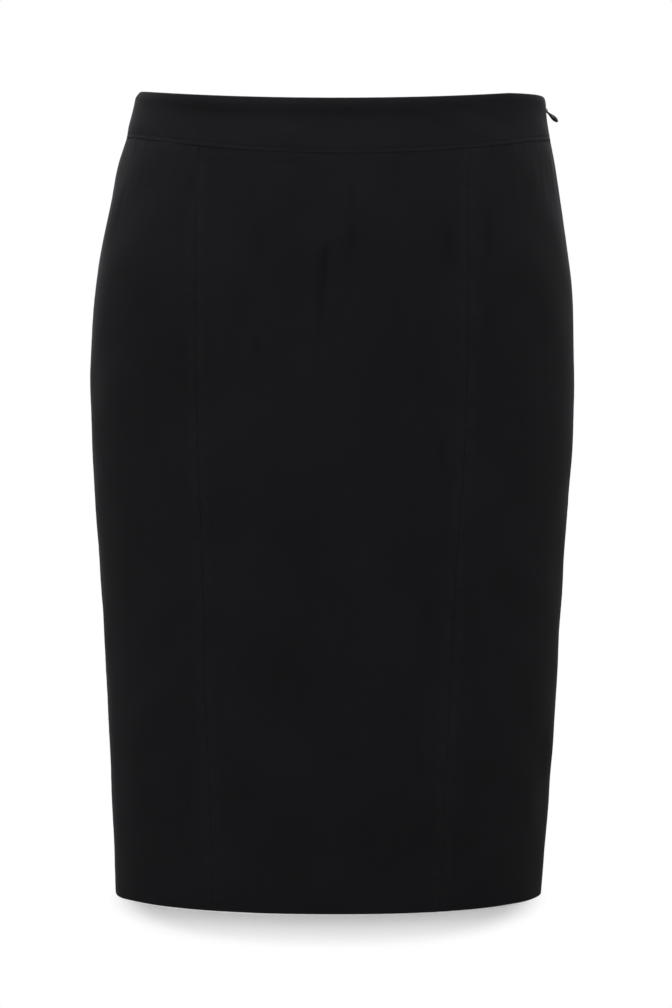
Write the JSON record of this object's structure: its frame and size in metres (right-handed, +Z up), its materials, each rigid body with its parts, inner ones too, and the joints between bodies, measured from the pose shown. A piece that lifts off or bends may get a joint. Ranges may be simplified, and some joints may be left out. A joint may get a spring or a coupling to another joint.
{
  "type": "pencil skirt, filled out as worn",
  "caption": "Knee-length pencil skirt held in its worn shape, with a shaped waistband, princess seams and a side zip with a hinged pull tab.",
  "frame": {"origin": "middle of the waist opening, level with the top edge over the hips", "axes": "+Z up, the front faces -Y, +X is the wearer's left, where the zip is"},
  "size_m": [0.3521, 0.2445, 0.5859],
  "materials": {
    "cloth": "matt black stretch crepe with a faint sheen at grazing angles",
    "zip_tape": "black woven zip tape",
    "zip_metal": "dark enamelled zip metal"
  },
  "bodies": {
    "garment": {"waistband_front": "cloth", "waistband_back": "cloth", "front_centre": "cloth", "front_side_left": "cloth", "front_side_right": "cloth", "back_left": "cloth", "back_right": "cloth", "zip_tape_front": "zip_tape", "zip_tape_back": "zip_tape", "zip_slider": "zip_metal"},
    "pull_tab": {"zip_pull": "zip_metal"}
  },
  "joints": [
    {"name": "pull_tab_hinge", "type": "hinge", "parent": "garment", "child": "pull_tab", "pos_m": [0.14956, 0, -0.0138], "axis": [0, -1, 0], "range_deg": [-34, 120]}
  ]
}
